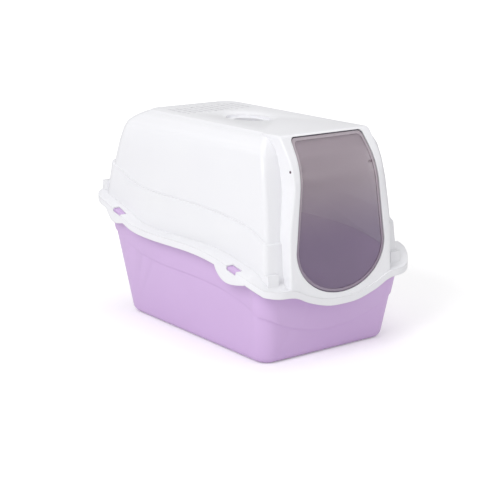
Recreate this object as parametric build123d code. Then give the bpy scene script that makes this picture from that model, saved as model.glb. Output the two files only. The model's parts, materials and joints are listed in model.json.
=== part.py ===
from build123d import *
import math
import os

os.makedirs("parts", exist_ok=True)

# Frame: millimetres, X to the right seen from the front, Y towards the rear, Z up.
# The doorway looks along -Y. The origin is on the floor under the middle of the skirt.

# Overall size, and the planes that the other places are measured from
width = 390.0
length = 570.0
height = 410.0
side = width / 2
front = -length / 2
rear = length / 2

# How far a shape that only cuts runs past the outline
beyond = 65.0

# Walls
hood_wall = 2.5
tray_wall = 2.6
flap_wall = 2.2

# Eases between the parts
seat_gap = 0.3
skirt_ease = 1.3
catch_ease = 0.5
flap_ease = 1.4
flap_top_ease = 2.2
pin_ease = 0.05
pad_ease = 1.0

# Skirt of the hood: a wavy lip that hangs from a flat ledge. Levels are of the lip's foot,
# along the side by y and across the front by x.
corner_radius_skirt = 62.0
skirt_low = 80.0
skirt_high = 270.0
lip_height = 13.0
front_dip_start = front + 45.0
front_dip_full = front + 15.0
lip_side_levels = [
    (front - 15.0, 143.0),
    (front + 13.0, 147.0),
    (front_dip_start, 158.5),
    (front + 90.0, 170.0),
    (front + 132.0, 178.0),
    (front + 180.0, 183.0),
    (0.0, 183.0),
    (rear - 195.0, 183.5),
    (rear - 165.0, 187.0),
    (rear - 135.0, 196.0),
    (rear - 113.0, 204.5),
    (rear - 85.0, 212.5),
    (rear - 40.0, 223.5),
    (rear + 15.0, 228.0),
]
lip_front_levels = [
    (0.0, 102.0),
    (side - 160.0, 104.0),
    (side - 129.0, 112.0),
    (side - 106.0, 120.5),
    (side - 92.0, 127.5),
    (side - 74.0, 132.5),
    (side - 45.0, 134.5),
    (side - 22.0, 139.0),
    (side + 10.0, 146.0),
]

# Behind the door front the rim stays low, so that the flap clears the tray as it swings in
lip_inner_y = front + 33.0
lip_inner_levels = [
    (0.0, 102.0),
    (side - 160.0, 104.0),
    (side - 129.0, 112.0),
    (side - 106.0, 128.0),
    (side - 92.0, 139.0),
    (side - 74.0, 148.0),
    (side - 45.0, 149.0),
    (side - 22.0, 150.7),
    (side + 10.0, 153.5),
]

# Hood walls: level, half width at the front, half width at the rear, front y, rear y,
# and how far an inner copy moves inwards and down for one wall of thickness
wall_foot = 90.0
hood_upper_sections = [
    (wall_foot, side - 37.0, side - 22.0, front + 21.0, rear - 6.0, 1.0, 0.0),
    (height - 148.0, side - 46.5, side - 32.5, front + 41.0, rear - 23.0, 1.0, 0.0),
    (height - 96.0, side - 49.0, side - 36.5, front + 49.5, rear - 32.0, 1.0, 0.0),
    (height - 62.0, side - 52.5, side - 40.5, front + 57.0, rear - 41.0, 1.0, 0.1),
    (height - 36.0, side - 57.0, side - 45.5, front + 65.0, rear - 49.0, 0.95, 0.3),
    (height - 23.0, side - 62.5, side - 51.0, front + 72.0, rear - 55.0, 0.8, 0.6),
    (height - 16.0, side - 70.0, side - 58.5, front + 79.0, rear - 61.5, 0.5, 0.85),
    (height - 9.5, side - 77.5, side - 70.0, front + 86.0, rear - 68.0, 0.4, 0.9),
    (height - 5.5, side - 84.5, side - 79.0, front + 93.0, rear - 74.0, 0.3, 0.95),
    (height - 4.3, side - 89.5, side - 85.0, front + 98.0, rear - 79.0, 0.3, 1.0),
    (height, side - 93.5, side - 89.5, front + 103.0, rear - 84.0, 1.0, 1.0),
]
hood_lower_sections = [
    (wall_foot, side - 28.5, side - 16.0, front + 17.0, rear - 4.0, 1.0, 0.0),
    (height - 240.0, side - 35.5, side - 21.5, front + 28.0, rear - 10.0, 1.0, 0.0),
    (height - 148.0, side - 42.0, side - 28.0, front + 36.5, rear - 18.5, 1.0, 0.0),
    (height - 80.0, side - 45.0, side - 33.5, front + 45.0, rear - 30.5, 1.0, 0.0),
]
hood_radius_front = 9.0
hood_radius_rear = 32.0

# The line along the side where the lower wall steps out from the upper one
hood_line_levels = [
    (front - 15.0, height - 186.0),
    (front + 35.0, height - 184.0),
    (front + 63.0, height - 169.0),
    (front + 90.0, height - 161.0),
    (front + 150.0, height - 152.5),
    (front + 215.0, height - 147.5),
    (0.0, height - 146.0),
    (rear - 225.0, height - 146.0),
    (rear - 158.0, height - 142.5),
    (rear - 122.0, height - 136.0),
    (rear - 85.0, height - 123.0),
    (rear - 47.0, height - 110.0),
    (rear + 15.0, height - 104.0),
]

# Door front: a straight lower face, an arc and a straight upper slope
front_knee_y = front + 17.7
front_knee_z = height - 95.0
front_lean = 3.4
front_arc_radius = 120.0
front_top_lean = 36.0
frame_proud = 3.0
roof_edge_radius = 14.0
nose_foot = 60.0
nose_half_top = side - 89.0
nose_half_foot = side - 75.0
nose_taper_top = height - 70.0
nose_taper_foot = 220.0
nose_edge_radius = 4.0
nose_back = front + 110.0

# Doorway outline: half widths and levels
door_top = height - 3.5
door_top_half = side - 111.0
door_widest_half = side - 89.6
door_widest = 208.0
door_bottom = 124.0
door_top_radius = 9.0
door_cut_back = front + 99.0

# Flap pivot and bead
pivot_y = front + 28.6
pivot_z = height - 59.0
pin_radius = 2.5
pin_root = door_top_half - 5.0
pin_tip_gap = 0.2
bead_width = 5.0
bead_proud = 1.2
bead_root = 0.4

# Tray
tray_half_base = side - 45.4
tray_front_base = front + 43.4
tray_rear_base = rear - 72.0
tray_draft_side = 0.133
tray_draft_front = 0.14
tray_draft_rear = 0.165
tray_radius_front = 30.0
tray_radius_rear = 45.0
tray_foot_radius = 16.0
tray_cut_top = 260.0
tray_band_proud = 2.6
tray_dip_start = front + 70.0
tray_dip_full = front + 47.0
flange_lip = 7.0
flange_lip_wall = 2.0

# The line round the tray where its upper wall steps in, by y along the side and by x
# across the front
tray_side_line = [
    (front - 15.0, 100.0),
    (front + 35.0, 104.0),
    (tray_dip_start, 110.0),
    (front + 87.0, 114.5),
    (front + 116.0, 121.5),
    (front + 147.0, 126.0),
    (front + 209.0, 130.5),
    (0.0, 131.0),
    (rear - 228.0, 131.5),
    (rear - 193.0, 134.0),
    (rear - 157.0, 139.5),
    (rear - 120.0, 151.0),
    (rear - 85.0, 166.0),
    (rear - 35.0, 178.0),
    (rear + 15.0, 180.0),
]
tray_front_line = [
    (0.0, 48.0),
    (side - 154.0, 51.5),
    (side - 118.0, 60.0),
    (side - 90.0, 69.0),
    (side - 71.0, 77.0),
    (side - 44.0, 90.0),
    (side - 20.0, 98.0),
    (side + 10.0, 102.0),
]

# Lobes of the lip over the catches, front and rear: y and level along the foot of each
lobes = [
    [
        (front + 132.0, 180.0),
        (front + 121.0, 164.0),
        (front + 107.0, 155.0),
        (front + 93.0, 151.8),
        (front + 70.0, 153.0),
        (front + 39.0, 158.0),
    ],
    [
        (rear - 134.0, 196.0),
        (rear - 120.0, 193.2),
        (rear - 102.0, 192.3),
        (rear - 91.0, 196.0),
        (rear - 82.0, 204.0),
        (rear - 72.0, 216.0),
    ],
]
lobe_rise = 30.0

# Windows for the catches: y, level and slope in degrees of each, front and rear
windows = [
    (front + 80.0, 181.5, 13.0),
    (rear - 114.0, 219.5, 12.0),
]
window_length = 28.0
window_height = 17.0
window_radius = 2.5
window_depth = 15.0

# Catch pads of the tray behind the windows
catch_wall = 3.0
catch_half_length = 20.0
catch_below = 14.0
catch_above = 30.0

# Hand hole: the roof dips softly to a dish with a hole and a collar round it
dip_half_x = 53.0
dip_half_y = 69.0
dip_depth = 4.5
dish_half_x = 38.0
dish_half_y = 53.0
dish_rim = height - dip_depth
dish_foot = dish_rim - 4.5
hole_half_x = 26.0
hole_half_y = 35.0
collar_foot = dish_foot - 15.0

# Filter pad and its cover, hinged under the roof
cover_half_x = side - 107.0
cover_wall = 2.0
cover_barrel_radius = 3.5
cover_hinge_y = rear - 109.0
cover_hinge_z = height - 10.5
cover_pin_radius = 2.0
cover_slots = 12
cover_slot_margin = 7.25
cover_slot_width = 8.0
cover_slot_end = 5.0
pad_half_x = cover_half_x - 4.0
pad_y = (rear - 200.0, rear - 117.0)
pad_thickness = 5.0
pad_roof_gap = 0.4
lug_gap = 0.6
lug_wall = 4.0
lug_half = 5.0
roof_under = height - hood_wall

# Vent slots over the filter
slot_length = 73.0
slot_width = 3.6
slot_columns = 10
slot_margin = 8.0
slot_y = rear - 158.5

# Corner blocks that stiffen the foot of the walls: inner x, front y, rear y, foot, top
corner_block_width = 24.0
corner_blocks = [
    (side - 61.0, front + 21.0, front + 40.0, 120.0, 173.0),
    (side - 57.0, rear - 27.0, rear - 8.0, 200.0, 260.0),
]


def box(x0, x1, y0, y1, z0, z1):
    return Pos((x0 + x1) / 2, (y0 + y1) / 2, (z0 + z1) / 2) * Box(x1 - x0, y1 - y0, z1 - z0)


def box_on_side(hand, x0, x1, y0, y1, z0, z1):
    """A box between two distances from the middle plane, on the hand's side."""
    block = box(x0, x1, y0, y1, z0, z1)
    return block if hand > 0 else block.mirror(Plane.YZ)


def rod_on_side(hand, radius, x0, x1, y, z):
    """A round rod along X between two distances from the middle plane."""
    disc = Plane((x0, y, z), z_dir=(1, 0, 0)) * Circle(radius)
    rod = extrude(disc, x1 - x0)
    return rod if hand > 0 else rod.mirror(Plane.YZ)


def oval_plug(half_x, half_y, z0, z1):
    return Pos(0, 0, z0) * extrude(Ellipse(half_x, half_y), z1 - z0)


def side_curtain(levels, rise):
    """Everything under a line drawn on the side, right across the width."""
    top = Spline(*[(0, y, z + rise) for y, z in levels])
    rest = Polyline(
        (0, levels[-1][0], levels[-1][1] + rise),
        (0, levels[-1][0], -beyond),
        (0, levels[0][0], -beyond),
        (0, levels[0][0], levels[0][1] + rise),
    )
    return extrude(make_face(top + rest), side + beyond, dir=(1, 0, 0), both=True)


def front_wedge(rows, back_y, back_level, rise):
    """Everything above a sheet that follows the rows and levels out towards back_y."""
    half = [-x for x, z in reversed(rows[0][1][1:])] + [x for x, z in rows[0][1]]
    sections = [(front - beyond, rows[0][1])] + rows
    sections = [(y, [z for x, z in reversed(row[1:])] + [z for x, z in row]) for y, row in sections]
    sections.append((back_y, [back_level] * len(half)))
    faces = []
    for y, levels in sections:
        low = Spline(*[(x, y, z + rise) for x, z in zip(half, levels)])
        rest = Polyline(
            (half[-1], y, levels[-1] + rise),
            (half[-1], y, skirt_high + beyond),
            (half[0], y, skirt_high + beyond),
            (half[0], y, levels[0] + rise),
        )
        faces.append(make_face(low + rest))
    return loft(faces, ruled=True)


def rim_body(rise):
    """Everything under the wavy rim, raised by rise."""
    start = dict(lip_side_levels)[front_dip_start]
    rows = [(front_dip_full, lip_front_levels), (lip_inner_y, lip_inner_levels)]
    wedge = front_wedge(rows, front_dip_start, start, rise)
    return side_curtain(lip_side_levels, rise) - wedge


def plan_face(z, half_front, half_rear, y_front, y_rear, r_front, r_rear):
    """A level outline with its own corner radii at the front and at the rear."""
    face = make_face(
        Polyline(
            (-half_front, y_front),
            (half_front, y_front),
            (half_rear, y_rear),
            (-half_rear, y_rear),
            close=True,
        )
    )
    face = fillet(face.vertices().group_by(Axis.Y)[0], r_front)
    face = fillet(face.vertices().group_by(Axis.Y)[-1], r_rear)
    return Pos(0, 0, z) * face


def hood_block(sections, inset):
    faces = []
    for z, half_front, half_rear, y_front, y_rear, inwards, down in sections:
        shift = inset * inwards
        faces.append(
            plan_face(
                z - inset * down,
                half_front - shift,
                half_rear - shift,
                y_front + shift,
                y_rear - shift,
                hood_radius_front - shift,
                hood_radius_rear - shift,
            )
        )
    return loft(faces, ruled=True)


def skirt_block(inset, z0=skirt_low, z1=skirt_high):
    """The skirt's outline, as a block from z0 to z1."""
    outline = RectangleRounded(width - 2 * inset, length - 2 * inset, corner_radius_skirt - inset)
    return Pos(0, 0, z0) * extrude(outline, z1 - z0)


def skirt_core(inset):
    """As skirt_block, but running past it above and below, to cut with."""
    return skirt_block(inset, skirt_low - beyond, skirt_high + beyond)


def front_edges(out, z_foot, z_top):
    """Side view of the door front, moved outwards by out: lower line, arc, upper line."""
    lean = math.radians(front_lean)
    top_lean = math.radians(front_top_lean)
    centre_y = front_knee_y + front_arc_radius * math.cos(lean)
    centre_z = front_knee_z - front_arc_radius * math.sin(lean)
    radius = front_arc_radius + out

    def on_arc(angle):
        return (0, centre_y - radius * math.cos(angle), centre_z + radius * math.sin(angle))

    start = on_arc(lean)
    end = on_arc(top_lean)
    foot = (0, start[1] - (start[2] - z_foot) * math.tan(lean), z_foot)
    tip = (0, end[1] + (z_top - end[2]) * math.tan(top_lean), z_top)
    arc = ThreePointArc(start, on_arc((lean + top_lean) / 2), end)
    return foot, start, arc, end, tip


def nose_block(inset):
    """The block that carries the doorway. Seen from the front it widens in a soft curve."""
    z_top = height - inset
    foot, start, arc, end, tip = front_edges(frame_proud - inset, nose_foot, z_top)
    edges = (
        Line(foot, start)
        + arc
        + Line(end, tip)
        + Polyline(tip, (0, nose_back, z_top), (0, nose_back, nose_foot), foot)
    )
    side_view = extrude(make_face(edges), side, dir=(1, 0, 0), both=True)
    roof_edge = side_view.edges().filter_by(Axis.X).sort_by_distance((0, tip[1], tip[2]))[0]
    side_view = fillet(roof_edge, roof_edge_radius - inset)
    top = nose_half_top - inset
    low = nose_half_foot - inset
    y = front - beyond
    outline = []
    for hand in (1, -1):
        outline += [
            Line((hand * top, y, z_top), (hand * top, y, nose_taper_top)),
            Spline(
                (hand * top, y, nose_taper_top),
                (hand * low, y, nose_taper_foot),
                tangents=((0, 0, -1), (0, 0, -1)),
            ),
            Line((hand * low, y, nose_taper_foot), (hand * low, y, nose_foot)),
        ]
    outline += [Line((-low, y, nose_foot), (low, y, nose_foot)), Line((-top, y, z_top), (top, y, z_top))]
    front_view = extrude(make_face(outline), nose_back - y, dir=(0, 1, 0))
    nose = side_view & front_view
    rounded = [
        edge
        for edge in nose.edges()
        if abs(edge.center().X) > top - 1
        and edge.center().Y < nose_back - 1
        and edge.center().Z > nose_foot + 1
    ]
    return fillet(rounded, nose_edge_radius - inset / 2)


def door_prism(ease, top_ease, y0, y1):
    """The doorway outline pushed along Y."""
    top = door_top - top_ease
    top_half = door_top_half - ease
    widest_half = door_widest_half - ease
    drop = door_widest - door_bottom - ease
    bottom = EllipticalCenterArc((0, door_widest), widest_half, drop, start_angle=180, arc_size=180)
    rest = Polyline(
        (widest_half, door_widest),
        (top_half, top),
        (-top_half, top),
        (-widest_half, door_widest),
    )
    face = fillet(make_face(bottom + rest).vertices().group_by(Axis.Y)[-1], door_top_radius)
    return Pos(0, y1, 0) * extrude(Plane.XZ * face, y1 - y0)


def hood_shell():
    """The hood's outer and inner bodies, and the skirt with its lobes."""
    outer = hood_block(hood_upper_sections, 0.0)
    outer += hood_block(hood_lower_sections, 0.0) & side_curtain(hood_line_levels, 0.0)
    outer += nose_block(0.0)
    inner = hood_block(hood_upper_sections, hood_wall)
    inner += hood_block(hood_lower_sections, hood_wall) & side_curtain(hood_line_levels, -hood_wall)
    inner += nose_block(hood_wall)

    under_lip = rim_body(0.0)
    under_top = rim_body(lip_height)
    under_ledge = rim_body(lip_height - hood_wall)
    skirt = skirt_block(0.0) & under_top
    shell = (outer - under_ledge) + (skirt - under_lip - skirt_core(hood_wall)) + (skirt - under_ledge)
    for hand in (-1, 1):
        for levels in lobes:
            shell += lobe(hand, levels) & skirt
    shell -= inner
    for x, y0, y1, z0, z1 in corner_blocks:
        for hand in (-1, 1):
            block = box_on_side(hand, x, x + corner_block_width, y0, y1, z0, z1)
            shell += (block - under_ledge) - inner
    return shell


def lobe(hand, levels):
    """The lip hangs lower over a catch."""
    x = hand * side
    foot = Spline(*[(x, y, z) for y, z in levels])
    near = levels[0]
    far = levels[-1]
    rest = Polyline(
        (x, far[0], far[1]),
        (x, far[0], far[1] + lobe_rise),
        (x, near[0], near[1] + lobe_rise),
        (x, near[0], near[1]),
    )
    return extrude(make_face(foot + rest), hood_wall, dir=(-hand, 0, 0))


def hand_hole(hood):
    """A soft dip in the roof, a dish with a crisp rim, and a collar round the hole."""
    under = dish_foot - hood_wall
    hood += oval_plug(dip_half_x, dip_half_y, dish_rim - hood_wall, height - hood_wall / 2)
    hood += oval_plug(dish_half_x + hood_wall, dish_half_y + hood_wall, under, dish_rim)
    hood += oval_plug(hole_half_x + hood_wall, hole_half_y + hood_wall, collar_foot, dish_foot)
    hood -= loft(
        [
            Pos(0, 0, dish_rim) * Ellipse(dish_half_x + hood_wall, dish_half_y + hood_wall),
            Pos(0, 0, height) * Ellipse(dip_half_x - 1, dip_half_y - 1),
            Pos(0, 0, height + hood_wall) * Ellipse(dip_half_x, dip_half_y),
        ],
        ruled=True,
    )
    hood -= oval_plug(dish_half_x, dish_half_y, dish_foot, height)
    return hood - oval_plug(hole_half_x, hole_half_y, collar_foot - hood_wall, height)


def vent_slots():
    pitch = 2 * (pad_half_x - slot_margin) / (slot_columns - 1)
    slots = []
    for column in range(slot_columns):
        x = (column - (slot_columns - 1) / 2) * pitch
        outline = Pos(x, slot_y, height) * SlotOverall(slot_length, slot_width, rotation=90)
        slots.append(extrude(outline, 2 * hood_wall, both=True))
    return slots


def catch_windows():
    cuts = []
    for hand in (-1, 1):
        for y, z, slope in windows:
            plane = Plane((hand * side, y, z), x_dir=(0, 1, 0), z_dir=(1, 0, 0)) * Rot(0, 0, slope)
            outline = plane * RectangleRounded(window_length, window_height, window_radius)
            cuts.append(extrude(outline, window_depth, both=True))
    return cuts


def filter_lugs():
    """Two lugs under the roof that carry the filter cover's pins."""
    lugs = []
    for hand in (-1, 1):
        x0 = cover_half_x + lug_gap
        x1 = x0 + lug_wall
        y0 = cover_hinge_y - lug_half
        y1 = cover_hinge_y + lug_half
        lug = box_on_side(hand, x0, x1, y0, y1, cover_hinge_z - lug_half, roof_under + hood_wall / 2)
        bore = rod_on_side(
            hand,
            cover_pin_radius + pin_ease,
            x0 - lug_wall,
            x1 + lug_wall,
            cover_hinge_y,
            cover_hinge_z,
        )
        lugs.append(lug - bore)
    return lugs


def make_hood():
    hood = hand_hole(hood_shell())
    hood -= door_prism(0.0, 0.0, front - beyond, door_cut_back)
    for hand in (-1, 1):
        hood -= rod_on_side(
            hand,
            pin_radius + pin_ease,
            door_top_half,
            nose_half_foot + hood_wall,
            pivot_y,
            pivot_z,
        )
    hood -= vent_slots()
    hood -= catch_windows()
    for lug in filter_lugs():
        hood += lug
    return hood


def tray_block(grow, z_floor, foot_radius):
    """The tray's tapering body, grown outwards by grow."""
    faces = []
    for z in (z_floor, tray_cut_top):
        half = tray_half_base + tray_draft_side * z + grow
        faces.append(
            plan_face(
                z,
                half,
                half,
                tray_front_base - tray_draft_front * z - grow,
                tray_rear_base + tray_draft_rear * z + grow,
                tray_radius_front + grow,
                tray_radius_rear + grow,
            )
        )
    block = loft(faces, ruled=True)
    return fillet(block.edges().group_by(Axis.Z)[0], foot_radius)


def make_tray():
    start = dict(tray_side_line)[tray_dip_start]
    wedge = front_wedge([(tray_dip_full, tray_front_line)], tray_dip_start, start, 0.0)
    under_line = side_curtain(tray_side_line, 0.0) - wedge
    flange_rise = lip_height - hood_wall - seat_gap
    flange_inset = hood_wall + skirt_ease
    tray = tray_block(0.0, 0.0, tray_foot_radius)
    tray += tray_block(tray_band_proud, 0.0, tray_foot_radius) - under_line
    tray += skirt_block(flange_inset) - rim_body(flange_rise - tray_wall)
    edge = skirt_block(flange_inset) - skirt_core(flange_inset + flange_lip_wall)
    tray += edge - rim_body(flange_rise - flange_lip)
    for hand in (-1, 1):
        for y, z, slope in windows:
            x1 = side - hood_wall - catch_ease
            tray += box_on_side(
                hand,
                x1 - catch_wall,
                x1,
                y - catch_half_length,
                y + catch_half_length,
                z - catch_below,
                z + catch_above,
            )
    tray = tray & rim_body(flange_rise)
    return tray - tray_block(-tray_wall, tray_wall, tray_foot_radius - tray_wall)


def flap_sheet(out, thickness):
    """A bent sheet that follows the door front."""
    z_top = height + beyond
    foot, start, arc, end, tip = front_edges(out, nose_foot, z_top)
    inner_foot, inner_start, inner_arc, inner_end, inner_tip = front_edges(
        out - thickness, nose_foot, z_top
    )
    edges = (
        Line(foot, start)
        + arc
        + Line(end, tip)
        + Line(tip, inner_tip)
        + Line(inner_tip, inner_end)
        + inner_arc
        + Line(inner_start, inner_foot)
        + Line(inner_foot, foot)
    )
    return extrude(make_face(edges), side, dir=(1, 0, 0), both=True)


def make_flap():
    """The sheet, a bead round its border, and a stub pin at each side."""
    y0 = front - beyond
    outline = door_prism(flap_ease, flap_top_ease, y0, door_cut_back)
    inner_outline = door_prism(
        flap_ease + bead_width, flap_top_ease + bead_width, y0 - bead_width, door_cut_back + bead_width
    )
    flap = flap_sheet(0.0, flap_wall) & outline
    flap += flap_sheet(bead_proud, bead_proud + bead_root) & (outline - inner_outline)
    for hand in (-1, 1):
        flap += rod_on_side(hand, pin_radius, pin_root, nose_half_top - pin_tip_gap, pivot_y, pivot_z)
    return flap


pad_top = roof_under - pad_roof_gap
pad_foot = pad_top - pad_thickness


def make_filter_pad():
    return box(-pad_half_x, pad_half_x, pad_y[0], pad_y[1], pad_foot, pad_top)


def make_filter_cover():
    """A shallow slotted tray for the pad, with a hinge barrel along its rear edge."""
    y0 = pad_y[0] - pad_ease
    y1 = pad_y[1] + pad_ease
    pocket_half = pad_half_x + pad_ease
    cover = box(
        -cover_half_x,
        cover_half_x,
        y0 - cover_wall,
        cover_hinge_y,
        pad_foot - cover_wall,
        pad_top,
    )
    cover -= box(-pocket_half, pocket_half, y0, y1, pad_foot, pad_top + cover_wall)
    pitch = 2 * (pad_half_x - cover_slot_margin) / (cover_slots - 1)
    for column in range(cover_slots):
        x = (column - (cover_slots - 1) / 2) * pitch
        cover -= box(
            x - cover_slot_width / 2,
            x + cover_slot_width / 2,
            pad_y[0] + cover_slot_end,
            pad_y[1] - cover_slot_end,
            pad_foot - 2 * cover_wall,
            pad_foot + cover_wall,
        )
    cover -= box(
        -side,
        side,
        y1 + cover_wall,
        cover_hinge_y + cover_wall,
        cover_hinge_z + cover_barrel_radius,
        pad_top + cover_wall,
    )
    for hand in (-1, 1):
        cover += rod_on_side(hand, cover_barrel_radius, 0.0, cover_half_x, cover_hinge_y, cover_hinge_z)
        cover += rod_on_side(
            hand,
            cover_pin_radius,
            0.0,
            cover_half_x + lug_gap + lug_wall,
            cover_hinge_y,
            cover_hinge_z,
        )
    return cover


export_step(make_tray(), "parts/tray.step")
export_step(make_hood(), "parts/hood.step")
export_step(make_flap(), "parts/flap.step")
export_step(make_filter_pad(), "parts/filter_pad.step")
export_step(make_filter_cover(), "parts/filter_cover.step")
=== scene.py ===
import json
import math

import bpy
from mathutils import Matrix, Vector

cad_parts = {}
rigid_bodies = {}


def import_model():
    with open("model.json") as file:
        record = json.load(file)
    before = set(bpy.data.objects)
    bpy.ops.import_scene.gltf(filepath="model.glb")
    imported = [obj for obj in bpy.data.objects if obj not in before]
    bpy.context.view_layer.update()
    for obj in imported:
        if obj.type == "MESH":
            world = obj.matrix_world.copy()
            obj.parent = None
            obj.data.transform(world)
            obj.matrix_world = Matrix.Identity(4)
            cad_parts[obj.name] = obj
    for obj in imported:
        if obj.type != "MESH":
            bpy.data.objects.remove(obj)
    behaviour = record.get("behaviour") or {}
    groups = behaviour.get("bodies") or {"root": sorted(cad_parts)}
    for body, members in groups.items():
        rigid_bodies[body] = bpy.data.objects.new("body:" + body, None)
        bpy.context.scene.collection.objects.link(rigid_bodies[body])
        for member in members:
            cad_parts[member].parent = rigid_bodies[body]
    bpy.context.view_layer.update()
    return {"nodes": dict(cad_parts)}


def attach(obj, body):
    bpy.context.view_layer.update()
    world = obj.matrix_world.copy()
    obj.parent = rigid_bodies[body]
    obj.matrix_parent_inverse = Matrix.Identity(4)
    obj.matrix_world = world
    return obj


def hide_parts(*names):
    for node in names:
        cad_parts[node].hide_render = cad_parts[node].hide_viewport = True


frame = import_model()

MM = 0.001

# The angle past which an edge is sharp, and the one under which two faces are one flat
SHARP_EDGE = math.radians(32)
FLAT_ANGLE = math.radians(0.3)
MERGE_DISTANCE = 0.02 * MM

# Steps across the bevel in a mesh, and rays that a material takes to round an edge
BEVEL_STEPS = 2
ROUNDING_RAYS = 6

# Edges above this level stay crisp, so that the roof's slots read: millimetres
ROOF_LEVEL = 399.0
ROOF_BLEND = 1.0
ROOF_ROUNDING = 0.4

# Sockets of a colour Mix node
FIRST_COLOUR = 6
SECOND_COLOUR = 7

# Middle of the flap's sheet in metres, from which its faces are found, and how far a face
# has to look to the front or up to count as facing that way
SHEET_MIDDLE = Vector((0, -0.27, 0.26))
FACING = 0.5
LEANING = 0.2

# Levels between which the flap's tint changes, in millimetres: the change is painted light, lighter
# above and darker below
FLAP_FOOT = 205.0
FLAP_TOP = 350.0

# Camera, fitted to the photograph: degrees and metres
CAMERA_PLACE = (-1.51783, -1.96684, 0.77710)
CAMERA_AZIMUTH = -37.302
CAMERA_ELEVATION = 13.868
CAMERA_ROLL = 0.248
CAMERA_LENS = 97.49
CAMERA_SENSOR = 36.0
CAMERA_REACH = 50.0

# The floor shows this much lighter than its paper, near the piece and far behind it, so that
# it is white and keeps its shadow. The change starts and ends at these metres from the middle.
FLOOR_LIFT = 0.21
FAR_LIFT = 0.8
LIFT_START = 0.5
LIFT_END = 2.0
FLOOR_SIZE = 60.0

# The floor lies just under the tray's foot, so that the two don't share a plane
FLOOR_DROP = 0.2 * MM

# The surround's strength as light, and as the camera sees it
SURROUND_LIGHT = 0.54
SURROUND_SHOWN = 1.0

# Each lamp's name, place in metres, size in metres and power in watts
LAMPS = (
    ("key_lamp", (-2.6, -1.0, 2.2), 1.4, 46.0),
    ("fill_lamp", (1.6, -2.6, 1.8), 2.2, 10.0),
    ("top_lamp", (0.2, 0.3, 2.6), 2.0, 16.0),
)
LAMP_AIM = Vector((0, 0, 0.2))


def linear(code):
    """An sRGB hex colour as linear red, green, blue and 1."""
    out = []
    for place in (1, 3, 5):
        value = int(code[place:place + 2], 16) / 255
        out.append(value / 12.92 if value <= 0.04045 else ((value + 0.055) / 1.055) ** 2.4)
    return (*out, 1.0)


def add_node(tree, kind, settings=None, links=None):
    """Adds a node, sets its properties and sockets, and links its inputs."""
    node = tree.nodes.new(kind)
    for key, value in (settings or {}).items():
        if isinstance(key, str) and key[0].islower():
            setattr(node, key, value)
        else:
            node.inputs[key].default_value = value
    for key, source in (links or {}).items():
        tree.links.new(source, node.inputs[key])
    return node


def new_material(name):
    material = bpy.data.materials.new(name)
    material.use_nodes = True
    material.node_tree.nodes.clear()
    return material, material.node_tree


def moulded_polypropylene(name, colour, shade, roughness, edge):
    """Injection moulded polypropylene: satin, with a very fine spark-eroded grain and a
    faint cloudiness where the melt cooled unevenly. Its edges catch the light as if
    rounded by edge millimetres."""
    material, tree = new_material(name)
    place = add_node(tree, "ShaderNodeTexCoord").outputs["Object"]
    cloud = add_node(tree, "ShaderNodeTexNoise", {"Scale": 9.0, "Detail": 3.0}, {"Vector": place})
    tint = add_node(
        tree,
        "ShaderNodeMix",
        {"data_type": "RGBA"},
        {"Factor": cloud.outputs["Fac"]},
    )
    tint.inputs[FIRST_COLOUR].default_value = linear(colour)
    tint.inputs[SECOND_COLOUR].default_value = linear(shade)
    # The grain is about 1 mm, coarser than the real one so that it shows
    grain = add_node(tree, "ShaderNodeTexNoise", {"Scale": 900.0, "Detail": 2.0}, {"Vector": place})
    apart = add_node(tree, "ShaderNodeSeparateXYZ", {}, {"Vector": place})
    crisp = add_node(
        tree,
        "ShaderNodeMapRange",
        {
            "From Min": ROOF_LEVEL * MM,
            "From Max": (ROOF_LEVEL + ROOF_BLEND) * MM,
            "To Min": edge * MM,
            "To Max": ROOF_ROUNDING * MM,
        },
        {"Value": apart.outputs["Z"]},
    )
    rounding = add_node(
        tree,
        "ShaderNodeBevel",
        {"samples": ROUNDING_RAYS},
        {"Radius": crisp.outputs["Result"]},
    )
    bump = add_node(
        tree,
        "ShaderNodeBump",
        {"Strength": 0.05, "Distance": 0.0003},
        {"Height": grain.outputs["Fac"], "Normal": rounding.outputs["Normal"]},
    )
    gloss = add_node(
        tree,
        "ShaderNodeMapRange",
        {"To Min": roughness - 0.04, "To Max": roughness + 0.06},
        {"Value": cloud.outputs["Fac"]},
    )
    shader = add_node(
        tree,
        "ShaderNodeBsdfPrincipled",
        {"IOR": 1.49, "Specular IOR Level": 0.42},
        {
            "Base Color": tint.outputs[2],
            "Roughness": gloss.outputs["Result"],
            "Normal": bump.outputs["Normal"],
        },
    )
    add_node(tree, "ShaderNodeOutputMaterial", {}, {"Surface": shader.outputs[0]})
    return material


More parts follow.
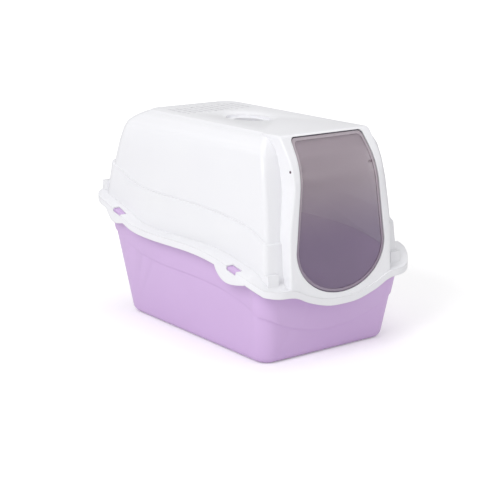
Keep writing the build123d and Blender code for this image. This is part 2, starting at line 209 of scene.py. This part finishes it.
def smoked_styrene(name, top, foot, alpha):
    """Clear polystyrene tinted smoky plum: polished and half see-through. Its colour is painted light,
    lighter towards the top, where the lit hood inside shows through, and painted shade, darker
    towards the foot, where the lilac tray stands behind it."""
    material, tree = new_material(name)
    place = add_node(tree, "ShaderNodeTexCoord").outputs["Object"]
    apart = add_node(tree, "ShaderNodeSeparateXYZ", {}, {"Vector": place})
    painted_light_by_height = add_node(
        tree,
        "ShaderNodeMapRange",
        {"From Min": FLAP_FOOT * MM, "From Max": FLAP_TOP * MM, "interpolation_type": "SMOOTHSTEP"},
        {"Value": apart.outputs["Z"]},
    )
    # Painted light and shade: the colour goes from the darker foot colour to the lighter top colour
    # with height
    tint = add_node(tree, "ShaderNodeMix", {"data_type": "RGBA"}, {"Factor": painted_light_by_height.outputs["Result"]})
    tint.inputs[FIRST_COLOUR].default_value = linear(foot)
    tint.inputs[SECOND_COLOUR].default_value = linear(top)
    flow = add_node(tree, "ShaderNodeTexNoise", {"Scale": 14.0, "Detail": 2.0}, {"Vector": place})
    gloss = add_node(
        tree,
        "ShaderNodeMapRange",
        {"To Min": 0.1, "To Max": 0.2},
        {"Value": flow.outputs["Fac"]},
    )
    shader = add_node(
        tree,
        "ShaderNodeBsdfPrincipled",
        {"Alpha": alpha, "IOR": 1.55},
        {"Base Color": tint.outputs[2], "Roughness": gloss.outputs["Result"]},
    )
    add_node(tree, "ShaderNodeOutputMaterial", {}, {"Surface": shader.outputs[0]})
    return material


def carbon_fleece():
    """Needled fleece loaded with carbon: matt black, with a fibre lay of about 2 mm."""
    material, tree = new_material("carbon_filter_fleece")
    place = add_node(tree, "ShaderNodeTexCoord").outputs["Object"]
    fibre = add_node(tree, "ShaderNodeTexNoise", {"Scale": 500.0, "Detail": 4.0}, {"Vector": place})
    tint = add_node(tree, "ShaderNodeMix", {"data_type": "RGBA"}, {"Factor": fibre.outputs["Fac"]})
    tint.inputs[FIRST_COLOUR].default_value = linear("#17171A")
    tint.inputs[SECOND_COLOUR].default_value = linear("#34343A")
    bump = add_node(
        tree,
        "ShaderNodeBump",
        {"Strength": 0.6, "Distance": 0.0008},
        {"Height": fibre.outputs["Fac"]},
    )
    shader = add_node(
        tree,
        "ShaderNodeBsdfPrincipled",
        {"Roughness": 0.95, "Specular IOR Level": 0.2},
        {"Base Color": tint.outputs[2], "Normal": bump.outputs["Normal"]},
    )
    add_node(tree, "ShaderNodeOutputMaterial", {}, {"Surface": shader.outputs[0]})
    return material


def only(obj):
    """Selects obj alone and makes it active."""
    for other in bpy.context.view_layer.objects:
        other.select_set(False)
    obj.select_set(True)
    bpy.context.view_layer.objects.active = obj


def sheet_faces(mesh):
    """The faces of the flap's sheet, found from its middle outwards up to the bead."""
    beside = {}
    for face in mesh.polygons:
        for key in face.edge_keys:
            beside.setdefault(key, []).append(face)
    found = set()
    for front in (True, False):
        facing = [
            face
            for face in mesh.polygons
            if abs(face.normal.y) > FACING and (face.normal.y < -FACING) == front
        ]
        open_faces = [min(facing, key=lambda face: (face.center - SHEET_MIDDLE).length)]
        while open_faces:
            face = open_faces.pop()
            if face.index in found:
                continue
            found.add(face.index)
            for key in face.edge_keys:
                for other in beside[key]:
                    if other.normal.angle(face.normal) < SHARP_EDGE:
                        open_faces.append(other)
    return found


def mark_flap(mesh):
    """Slot 0 is the sheet, slot 1 its bead, painted lighter as a highlight, and slot 2 the narrow
    faces round the outside, painted dark as the shade of the gap round the flap.
    """
    sheet = sheet_faces(mesh)
    for face in mesh.polygons:
        if face.index in sheet:
            continue
        upper = face.normal.z > FACING and face.normal.y < -LEANING
        facing = face.normal.y < -FACING or upper
        face.material_index = 1 if facing else 2


def rounded_copy(node, name, edge, mark=None):
    """A merged copy of a CAD node with its sharp edges broken. The bevel asks for edge
    millimetres, and Blender's overlap clamp leaves far less where the mesh has short edges."""
    obj = bpy.data.objects.new(name, frame["nodes"][node].data.copy())
    bpy.context.collection.objects.link(obj)
    only(obj)
    bpy.ops.object.mode_set(mode="EDIT")
    bpy.ops.mesh.select_all(action="SELECT")
    bpy.ops.mesh.remove_doubles(threshold=MERGE_DISTANCE)
    bpy.ops.mesh.dissolve_limited(angle_limit=FLAT_ANGLE)
    bpy.ops.object.mode_set(mode="OBJECT")
    bpy.ops.object.shade_smooth_by_angle(angle=SHARP_EDGE)
    if mark:
        mark(obj.data)
    bevel = obj.modifiers.new("edges", "BEVEL")
    bevel.width = edge * MM
    bevel.segments = BEVEL_STEPS
    bevel.limit_method = "ANGLE"
    bevel.angle_limit = SHARP_EDGE
    bevel.harden_normals = True
    bpy.ops.object.modifier_apply(modifier="edges")
    return obj


def dress(obj, materials, body, node):
    """Gives a piece its materials and the body it rides on, in place of a CAD node."""
    places = [face.material_index for face in obj.data.polygons]
    obj.data.materials.clear()
    for material in materials:
        obj.data.materials.append(material)
    for face, place in zip(obj.data.polygons, places):
        face.material_index = min(place, len(materials) - 1)
    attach(obj, body)
    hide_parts(node)


white = moulded_polypropylene("moulded_polypropylene_white", "#F1F1F4", "#EDEDF1", 0.30, 1.8)
lilac = moulded_polypropylene("moulded_polypropylene_lilac", "#D6B9E4", "#D2B4E0", 0.34, 0.9)
# The sheet's colour is painted light: lighter at the top for the lit hood inside, darker at the foot
# as painted shade
smoked = smoked_styrene("smoked_clear_polystyrene", "#D1C1CB", "#A795B2", 0.34)
# The bead's lighter colour is a painted highlight where its rounded edge catches the light; it too is
# painted lighter at the top than at the foot
bead = smoked_styrene("smoked_polystyrene_bead_painted_highlight", "#D8CCD4", "#BDAFC0", 0.55)
# The rim's dark, nearly opaque colour is painted shade of the gap between the flap and its opening
rim = smoked_styrene("smoked_polystyrene_rim_painted_shade", "#5E4656", "#54394B", 0.9)
fleece = carbon_fleece()

tray = rounded_copy("tray", "tray_shell", 0.6)
dress(tray, [lilac], "tray_body", "tray")
hood = rounded_copy("hood", "hood_shell", 0.6)
dress(hood, [white], "hood_body", "hood")
flap = rounded_copy("flap", "flap_panel", 0.4, mark_flap)
dress(flap, [smoked, bead, rim], "flap_body", "flap")
cover = rounded_copy("filter_cover", "filter_cover_frame", 0.3)
dress(cover, [white], "filter_body", "filter_cover")
pad = rounded_copy("filter_pad", "filter_pad_fleece", 1.0)
dress(pad, [fleece], "filter_body", "filter_pad")


def studio():
    """A pale floor, a bright surround and three soft lamps, the strongest on the left."""
    floor_material, tree = new_material("pale_studio_floor")
    paper = add_node(tree, "ShaderNodeBsdfDiffuse", {"Color": linear("#FAFAFA")})
    path = add_node(tree, "ShaderNodeLightPath")
    seen = add_node(
        tree,
        "ShaderNodeMath",
        {"operation": "MAXIMUM"},
        {0: path.outputs["Is Camera Ray"], 1: path.outputs["Is Transmission Ray"]},
    )
    place = add_node(tree, "ShaderNodeTexCoord").outputs["Object"]
    reach = add_node(tree, "ShaderNodeVectorMath", {"operation": "LENGTH"}, {0: place})
    amount = add_node(
        tree,
        "ShaderNodeMapRange",
        {"From Min": LIFT_START, "From Max": LIFT_END, "To Min": FLOOR_LIFT, "To Max": FAR_LIFT},
        {"Value": reach.outputs["Value"]},
    )
    lift = add_node(
        tree,
        "ShaderNodeMath",
        {"operation": "MULTIPLY"},
        {0: seen.outputs[0], 1: amount.outputs["Result"]},
    )
    glow = add_node(tree, "ShaderNodeEmission", {"Color": (1, 1, 1, 1)}, {"Strength": lift.outputs[0]})
    both = add_node(tree, "ShaderNodeAddShader", {}, {0: paper.outputs[0], 1: glow.outputs[0]})
    add_node(tree, "ShaderNodeOutputMaterial", {}, {"Surface": both.outputs[0]})
    bpy.ops.mesh.primitive_plane_add(size=FLOOR_SIZE, location=(0, 0, -FLOOR_DROP))
    floor = bpy.context.object
    floor.name = "studio_floor"
    floor.data.materials.append(floor_material)

    world = bpy.data.worlds.new("studio_surround")
    bpy.context.scene.world = world
    world.use_nodes = True
    tree = world.node_tree
    tree.nodes.clear()
    light = add_node(
        tree, "ShaderNodeBackground", {"Color": (1, 1, 1, 1), "Strength": SURROUND_LIGHT}
    )
    shown = add_node(
        tree, "ShaderNodeBackground", {"Color": (1, 1, 1, 1), "Strength": SURROUND_SHOWN}
    )
    path = add_node(tree, "ShaderNodeLightPath")
    both = add_node(
        tree,
        "ShaderNodeMixShader",
        {},
        {0: path.outputs["Is Camera Ray"], 1: light.outputs[0], 2: shown.outputs[0]},
    )
    add_node(tree, "ShaderNodeOutputWorld", {}, {"Surface": both.outputs[0]})

    for name, place, size, power in LAMPS:
        lamp = bpy.data.lights.new(name, "AREA")
        lamp.size = size
        lamp.energy = power
        holder = bpy.data.objects.new(name, lamp)
        bpy.context.collection.objects.link(holder)
        holder.location = place
        aim = LAMP_AIM - Vector(place)
        holder.rotation_euler = aim.to_track_quat("-Z", "Y").to_euler()


def photograph_camera():
    """The camera that the photograph was fitted with."""
    data = bpy.data.cameras.new("photo_camera")
    data.lens = CAMERA_LENS
    data.sensor_width = CAMERA_SENSOR
    data.clip_end = CAMERA_REACH
    camera = bpy.data.objects.new("photo_camera", data)
    bpy.context.collection.objects.link(camera)
    azimuth = math.radians(CAMERA_AZIMUTH)
    elevation = math.radians(CAMERA_ELEVATION)
    back = Vector(
        (
            math.sin(azimuth) * math.cos(elevation),
            -math.cos(azimuth) * math.cos(elevation),
            math.sin(elevation),
        )
    )
    camera.location = CAMERA_PLACE
    turn = (-back).to_track_quat("-Z", "Y").to_matrix()
    turn = turn @ Matrix.Rotation(math.radians(CAMERA_ROLL), 3, "Z")
    camera.rotation_euler = turn.to_euler()
    bpy.context.scene.camera = camera


studio()
photograph_camera()
bpy.context.scene.view_settings.view_transform = "Standard"
